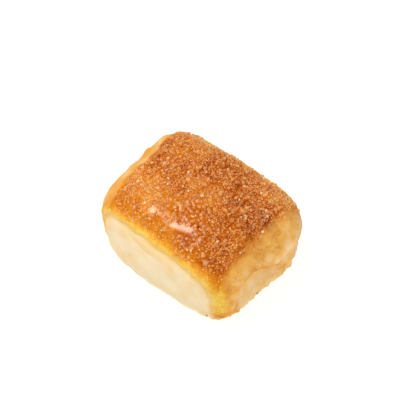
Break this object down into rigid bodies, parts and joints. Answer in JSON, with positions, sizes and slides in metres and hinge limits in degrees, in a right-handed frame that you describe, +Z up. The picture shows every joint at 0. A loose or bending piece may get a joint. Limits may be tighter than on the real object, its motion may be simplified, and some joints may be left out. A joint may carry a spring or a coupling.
{
  "type": "danish pastry",
  "caption": "Small pillow-shaped sweet yeast bun with a glazed, sugar-crusted top and pale pull-apart sides, resting on a flat baked base.",
  "frame": {"origin": "centre of the flat baked base, on the surface that the pastry stands on", "axes": "+X along the pastry's length towards the golden end with the pale hollow, -Y towards the long pale side, +Z up through the sugared top"},
  "size_m": [0.0862, 0.0722, 0.0485],
  "materials": {
    "baked_dough": "satin"
  },
  "bodies": {
    "root": {"danish_pastry": "baked_dough"}
  },
  "joints": []
}
